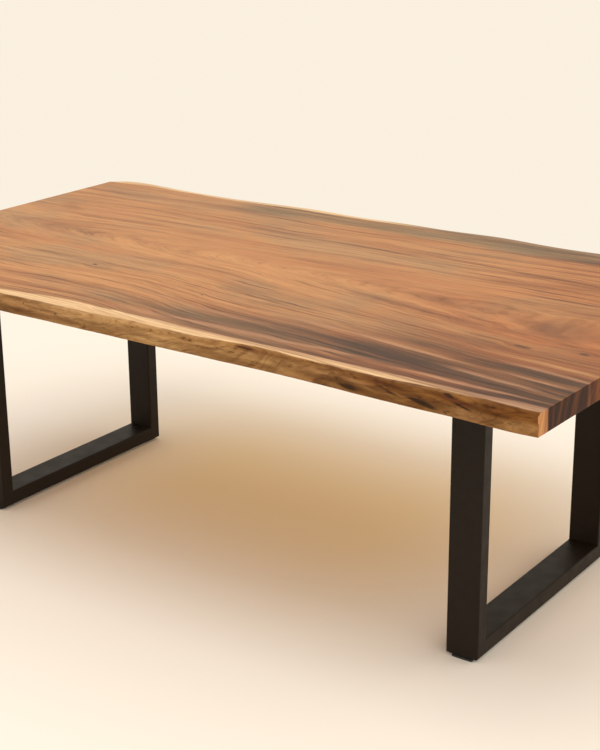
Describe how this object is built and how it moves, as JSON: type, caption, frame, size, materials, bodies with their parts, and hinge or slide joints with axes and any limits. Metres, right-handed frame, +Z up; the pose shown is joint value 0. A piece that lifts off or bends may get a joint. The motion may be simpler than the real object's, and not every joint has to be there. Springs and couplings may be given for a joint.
{
  "type": "live edge dining table",
  "caption": "Dining table: a thick wooden slab with natural live edges and square-cut ends on black rectangular steel frames with levelling feet.",
  "frame": {"origin": "on the floor, under the middle of the tabletop's outline", "axes": "+X along the grain of the slab, towards its right end; +Y across the table, away from the front live edge; +Z up"},
  "size_m": [2.1636, 1.2126, 0.75],
  "materials": {
    "slab_wood": "satin oiled hardwood with pale sapwood along the live edges",
    "frame_steel": "matt black powder coat",
    "channel_steel": "matt black powder coat",
    "zinc_steel": "zinc plated",
    "insert_brass": "plain turned brass",
    "foot_plastic": "matt black nylon"
  },
  "bodies": {
    "root": {"tabletop_slab": "slab_wood", "left_front_post": "frame_steel", "left_rear_post": "frame_steel", "right_front_post": "frame_steel", "right_rear_post": "frame_steel", "left_bottom_rail": "frame_steel", "right_bottom_rail": "frame_steel", "left_top_plate": "frame_steel", "right_top_plate": "frame_steel", "left_stiffening_channel": "channel_steel", "right_stiffening_channel": "channel_steel", "plate_bolts": "zinc_steel", "plate_washers": "zinc_steel", "plate_threaded_inserts": "insert_brass", "channel_bolts": "zinc_steel", "channel_washers": "zinc_steel", "channel_threaded_inserts": "insert_brass", "foot_weld_nuts": "zinc_steel"},
    "left_front_base": {"left_front_foot_base": "foot_plastic"},
    "left_front_stem": {"left_front_foot_stem": "zinc_steel"},
    "left_rear_base": {"left_rear_foot_base": "foot_plastic"},
    "left_rear_stem": {"left_rear_foot_stem": "zinc_steel"},
    "right_front_base": {"right_front_foot_base": "foot_plastic"},
    "right_front_stem": {"right_front_foot_stem": "zinc_steel"},
    "right_rear_base": {"right_rear_foot_base": "foot_plastic"},
    "right_rear_stem": {"right_rear_foot_stem": "zinc_steel"}
  },
  "joints": [
    {"name": "left_front_foot_height", "type": "slide", "parent": "root", "child": "left_front_base", "axis": [0, 0, -1], "range_m": [0, 0.012]},
    {"name": "left_front_foot_turn", "type": "hinge", "parent": "left_front_base", "child": "left_front_stem", "pos_m": [-0.7695, -0.313, 0.005], "axis": [0, 0, -1], "range_deg": [0, 2880]},
    {"name": "left_rear_foot_height", "type": "slide", "parent": "root", "child": "left_rear_base", "axis": [0, 0, -1], "range_m": [0, 0.012]},
    {"name": "left_rear_foot_turn", "type": "hinge", "parent": "left_rear_base", "child": "left_rear_stem", "pos_m": [-0.7695, 0.313, 0.005], "axis": [0, 0, -1], "range_deg": [0, 2880]},
    {"name": "right_front_foot_height", "type": "slide", "parent": "root", "child": "right_front_base", "axis": [0, 0, -1], "range_m": [0, 0.012]},
    {"name": "right_front_foot_turn", "type": "hinge", "parent": "right_front_base", "child": "right_front_stem", "pos_m": [0.7575, -0.313, 0.005], "axis": [0, 0, -1], "range_deg": [0, 2880]},
    {"name": "right_rear_foot_height", "type": "slide", "parent": "root", "child": "right_rear_base", "axis": [0, 0, -1], "range_m": [0, 0.012]},
    {"name": "right_rear_foot_turn", "type": "hinge", "parent": "right_rear_base", "child": "right_rear_stem", "pos_m": [0.7575, 0.313, 0.005], "axis": [0, 0, -1], "range_deg": [0, 2880]}
  ],
  "couplings": [
    {"joint": "left_front_foot_turn", "follows": "left_front_foot_height", "rad_per_m": 4188.8},
    {"joint": "left_rear_foot_turn", "follows": "left_rear_foot_height", "rad_per_m": 4188.8},
    {"joint": "right_front_foot_turn", "follows": "right_front_foot_height", "rad_per_m": 4188.8},
    {"joint": "right_rear_foot_turn", "follows": "right_rear_foot_height", "rad_per_m": 4188.8}
  ]
}
